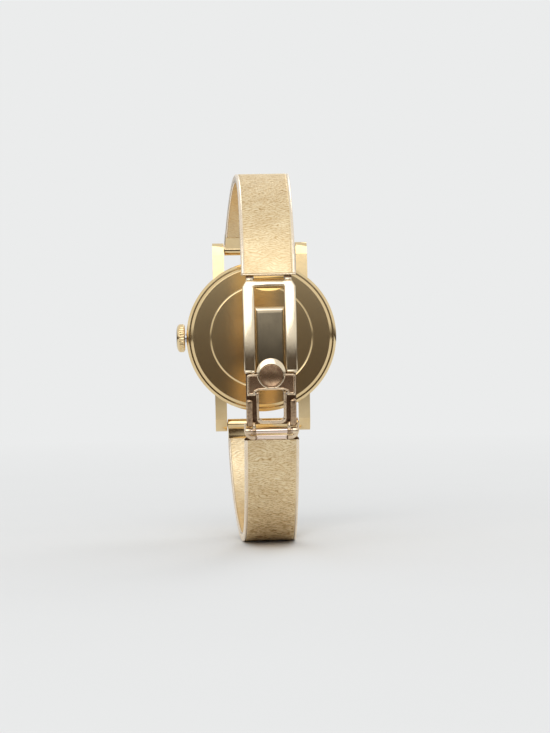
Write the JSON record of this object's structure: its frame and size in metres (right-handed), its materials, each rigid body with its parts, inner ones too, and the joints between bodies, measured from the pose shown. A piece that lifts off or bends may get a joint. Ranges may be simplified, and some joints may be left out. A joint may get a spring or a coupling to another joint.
{
  "type": "dress watch",
  "caption": "Round gold dress watch on a tapering woven mesh bracelet, closed by a hinged open-frame clasp with a latch.",
  "frame": {"origin": "centre of the wrist opening, midway between the top and the bottom of the closed loop", "axes": "+X along the wrist with the crown at -X, +Y out through the dial, +Z to 12 o'clock; the clasp is at -Y"},
  "size_m": [0.0307, 0.0551, 0.0668],
  "materials": {
    "polished_gold": "polished",
    "woven_gold": "satin, textured",
    "hand_gold": "polished",
    "crystal": "clear",
    "gasket": "matte",
    "dial": "satin",
    "movement_plate": "satin",
    "wheel_brass": "satin",
    "polished_steel": "polished",
    "blued_steel": "blued",
    "ruby": "polished"
  },
  "bodies": {
    "case": {"case_middle": "polished_gold", "bezel": "polished_gold", "crystal": "crystal", "crystal_gasket": "gasket", "case_back": "polished_gold", "back_gasket": "gasket", "crown_tube": "polished_steel", "movement_ring": "movement_plate", "dial": "dial", "hour_markers": "hand_gold", "main_plate": "movement_plate", "barrel_bridge": "movement_plate", "train_bridge": "movement_plate", "balance_cock": "movement_plate", "pallet_cock": "movement_plate", "jewels": "ruby", "bridge_screws": "blued_steel", "crown_wheel_screw": "blued_steel", "spring_bars": "polished_steel"},
    "minute_arbor": {"center_wheel": "wheel_brass", "cannon_pinion": "polished_steel", "minute_hand": "hand_gold"},
    "hour_tube": {"hour_wheel": "wheel_brass", "hour_hand": "hand_gold"},
    "minute_wheel": {"minute_wheel": "wheel_brass"},
    "barrel": {"barrel": "wheel_brass", "mainspring": "blued_steel"},
    "third_wheel": {"third_wheel": "wheel_brass"},
    "fourth_wheel": {"fourth_wheel": "wheel_brass"},
    "escape_wheel": {"escape_wheel": "polished_steel"},
    "pallet_fork": {"pallet_fork": "polished_steel"},
    "balance": {"balance_wheel": "wheel_brass", "hairspring": "blued_steel"},
    "winding_pinion": {"winding_pinion": "polished_steel"},
    "crown": {"crown": "polished_gold", "winding_stem": "polished_steel"},
    "crown_wheel": {"crown_wheel": "polished_steel"},
    "ratchet": {"ratchet_wheel": "polished_steel", "barrel_arbor": "polished_steel"},
    "click": {"click": "polished_steel"},
    "upper_band": {"upper_end_link": "polished_gold", "upper_mesh_at_case": "woven_gold"},
    "upper_tail": {"upper_mesh_at_clasp": "woven_gold", "upper_end_cap": "polished_gold"},
    "clasp_frame": {"clasp_frame": "polished_gold", "hinge_pin": "polished_steel"},
    "lower_band": {"lower_end_link": "polished_gold", "lower_mesh_at_case": "woven_gold"},
    "lower_tail": {"lower_mesh_at_clasp": "woven_gold", "stirrup": "polished_gold", "clasp_pin": "polished_steel"},
    "lower_clasp": {"lower_frame": "polished_gold", "tongue_plate": "polished_gold", "latch_pins": "polished_steel"},
    "latch": {"latch": "polished_gold", "latch_disc": "polished_gold"}
  },
  "joints": [
    {"name": "upper_lug", "type": "hinge", "parent": "case", "child": "upper_band", "pos_m": [0, 0.02342, 0.02092], "axis": [-1, 0, 0], "range_deg": [0, 30]},
    {"name": "upper_flex", "type": "hinge", "parent": "upper_band", "child": "upper_tail", "pos_m": [0, 0.0035, 0.0334], "axis": [-1, 0, 0], "range_deg": [0, 50]},
    {"name": "frame_hinge", "type": "hinge", "parent": "upper_tail", "child": "clasp_frame", "pos_m": [0, -0.0243, 0.0132], "axis": [-1, 0, 0], "range_deg": [0, 90]},
    {"name": "lower_lug", "type": "hinge", "parent": "case", "child": "lower_band", "pos_m": [0, 0.02342, -0.01272], "axis": [1, 0, 0], "range_deg": [0, 30]},
    {"name": "lower_flex", "type": "hinge", "parent": "lower_band", "child": "lower_tail", "pos_m": [0, 0.0035, -0.0334], "axis": [1, 0, 0], "range_deg": [0, 50]},
    {"name": "clasp_hinge", "type": "hinge", "parent": "lower_tail", "child": "lower_clasp", "pos_m": [0, -0.02454, -0.0125], "axis": [1, 0, 0], "range_deg": [0, 90]},
    {"name": "latch_hinge", "type": "hinge", "parent": "lower_clasp", "child": "latch", "pos_m": [0, -0.02619, -0.0062], "axis": [1, 0, 0], "range_deg": [0, 100]},
    {"name": "crown_spin", "type": "hinge", "parent": "case", "child": "winding_pinion", "pos_m": [0, 0.02342, 0.0041], "axis": [-1, 0, 0], "continuous": true},
    {"name": "crown_pull", "type": "slide", "parent": "winding_pinion", "child": "crown", "axis": [-1, 0, 0], "range_m": [0, 0.0008]},
    {"name": "crown_wheel_turn", "type": "hinge", "parent": "case", "child": "crown_wheel", "pos_m": [-0.00624, 0.02272, 0.0041], "axis": [0, -1, 0], "continuous": true},
    {"name": "ratchet_turn", "type": "hinge", "parent": "case", "child": "ratchet", "pos_m": [-0.00108, 0.02272, 0.01021], "axis": [0, -1, 0], "continuous": true},
    {"name": "click_swing", "type": "hinge", "parent": "case", "child": "click", "pos_m": [0.00429, 0.02272, 0.01331], "axis": [0, 1, 0], "range_deg": [0, 8], "stiffness_Nm_per_rad": 0.000001},
    {"name": "minute_turn", "type": "hinge", "parent": "case", "child": "minute_arbor", "pos_m": [0, 0.02272, 0.0041], "axis": [0, -1, 0], "continuous": true},
    {"name": "hour_turn", "type": "hinge", "parent": "case", "child": "hour_tube", "pos_m": [0, 0.02272, 0.0041], "axis": [0, -1, 0], "continuous": true},
    {"name": "minute_wheel_turn", "type": "hinge", "parent": "case", "child": "minute_wheel", "pos_m": [0.00229, 0.02272, 0.00542], "axis": [0, -1, 0], "continuous": true},
    {"name": "barrel_turn", "type": "hinge", "parent": "case", "child": "barrel", "pos_m": [-0.00108, 0.02272, 0.01021], "axis": [0, -1, 0], "continuous": true},
    {"name": "third_turn", "type": "hinge", "parent": "case", "child": "third_wheel", "pos_m": [0.00398, 0.02272, 0.00131], "axis": [0, -1, 0], "continuous": true},
    {"name": "fourth_turn", "type": "hinge", "parent": "case", "child": "fourth_wheel", "pos_m": [0.00727, 0.02272, 0.00219], "axis": [0, -1, 0], "continuous": true},
    {"name": "escape_turn", "type": "hinge", "parent": "case", "child": "escape_wheel", "pos_m": [0.00668, 0.02272, -0.00114], "axis": [0, -1, 0], "continuous": true},
    {"name": "pallet_swing", "type": "hinge", "parent": "case", "child": "pallet_fork", "pos_m": [0.00423, 0.02272, -0.00228], "axis": [0, -1, 0], "range_deg": [-5, 5]},
    {"name": "balance_swing", "type": "hinge", "parent": "case", "child": "balance", "pos_m": [0.00084, 0.02272, -0.00258], "axis": [0, -1, 0], "range_deg": [-270, 270], "stiffness_Nm_per_rad": 0.00000012}
  ],
  "couplings": [
    {"joint": "hour_turn", "follows": "minute_turn", "ratio": 0.083333},
    {"joint": "minute_wheel_turn", "follows": "minute_turn", "ratio": -0.33333},
    {"joint": "barrel_turn", "follows": "minute_turn", "ratio": -0.14286},
    {"joint": "third_turn", "follows": "minute_turn", "ratio": -8},
    {"joint": "fourth_turn", "follows": "minute_turn", "ratio": 60},
    {"joint": "crown_wheel_turn", "follows": "crown_spin", "ratio": -0.5},
    {"joint": "ratchet_turn", "follows": "crown_spin", "ratio": 0.3}
  ]
}
